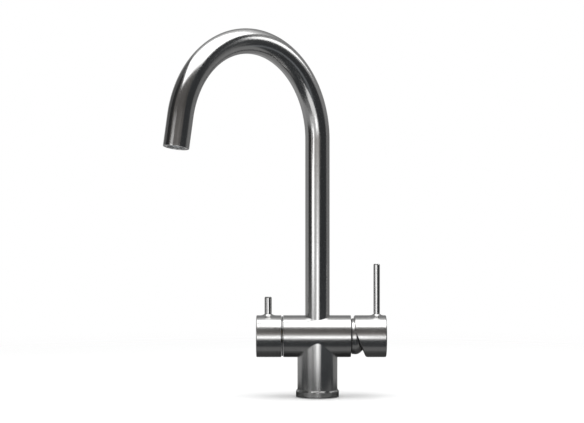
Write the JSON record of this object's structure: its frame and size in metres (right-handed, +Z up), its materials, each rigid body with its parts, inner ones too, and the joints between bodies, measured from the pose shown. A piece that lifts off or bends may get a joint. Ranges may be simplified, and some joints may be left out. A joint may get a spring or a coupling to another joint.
{
  "type": "three way filtered water tap",
  "caption": "Deck kitchen tap: cross barrel on a short column, swivelling swan-neck spout, side mixer lever and quarter-turn filtered water knob.",
  "frame": {"origin": "centre of the tap's underside, on the column's axis, where it rests on the worktop", "axes": "+Z up along the column and the spout's leg; +X along the barrel towards the mixer lever; -Y faces the user"},
  "size_m": [0.2447, 0.1905, 0.4154],
  "materials": {
    "brushed_steel": "fine satin-brushed stainless steel",
    "polished_steel": "polished stainless steel",
    "brass": "machined brass",
    "ceramic": "ground white ceramic, opaque",
    "cartridge_plastic": "moulded engineering plastic",
    "aerator_plastic": "moulded grey plastic",
    "silicone": "milky food-grade silicone tube",
    "seal_rubber": "black sealing rubber"
  },
  "bodies": {
    "base": {"tap_body": "brushed_steel", "base_ring": "brushed_steel", "base_gasket": "seal_rubber", "spout_retaining_screw": "polished_steel", "filtered_tube_seal": "seal_rubber", "knob_spacer_ring": "polished_steel", "headwork_body": "brass", "headwork_seat_seal": "seal_rubber", "headwork_fixed_disc": "ceramic", "cartridge_base": "cartridge_plastic", "cartridge_inlet_seal": "seal_rubber", "cartridge_fixed_disc": "ceramic", "cartridge_housing": "cartridge_plastic", "cartridge_nut": "brass", "dome_cover": "brushed_steel"},
    "spout": {"spout_tube": "brushed_steel", "spout_swivel_foot": "brass", "spout_lower_seal": "seal_rubber", "spout_upper_seal": "seal_rubber", "filtered_water_tube": "silicone", "aerator_housing": "polished_steel", "aerator_screen": "aerator_plastic", "aerator_washer": "seal_rubber", "filter_nozzle": "aerator_plastic"},
    "filter_knob": {"filter_knob_cap": "brushed_steel", "filter_knob_pin": "polished_steel", "filter_knob_grub_screw": "polished_steel", "headwork_spindle": "brass", "spindle_seal": "seal_rubber", "spindle_clip": "polished_steel", "headwork_moving_disc": "ceramic"},
    "mixer_spindle": {"spindle_carrier": "cartridge_plastic", "lever_pivot_pin": "polished_steel"},
    "mixer_lever": {"handle_cap": "brushed_steel", "handle_pin": "polished_steel", "handle_grub_screw": "polished_steel", "lever_stem": "brass"},
    "mixing_disc": {"cartridge_moving_disc": "ceramic", "disc_coupler": "cartridge_plastic"}
  },
  "joints": [
    {"name": "spout_swivel", "type": "hinge", "parent": "base", "child": "spout", "pos_m": [0, 0, 0.0775], "axis": [0, 0, 1], "continuous": true},
    {"name": "filter_turn", "type": "hinge", "parent": "base", "child": "filter_knob", "pos_m": [-0.0567, 0, 0.07], "axis": [1, 0, 0], "range_deg": [0, 90]},
    {"name": "mixer_temperature", "type": "hinge", "parent": "base", "child": "mixer_spindle", "pos_m": [0.0435, 0, 0.07], "axis": [1, 0, 0], "range_deg": [-45, 45]},
    {"name": "mixer_flow", "type": "hinge", "parent": "mixer_spindle", "child": "mixer_lever", "pos_m": [0.0435, 0, 0.07], "axis": [0, 1, 0], "range_deg": [0, 25]},
    {"name": "mixing_disc_slide", "type": "slide", "parent": "mixer_spindle", "child": "mixing_disc", "axis": [0, 0, 1], "range_m": [0, 0.0045]}
  ],
  "couplings": [
    {"joint": "mixing_disc_slide", "follows": "mixer_flow", "m_per_rad": 0.0103}
  ]
}
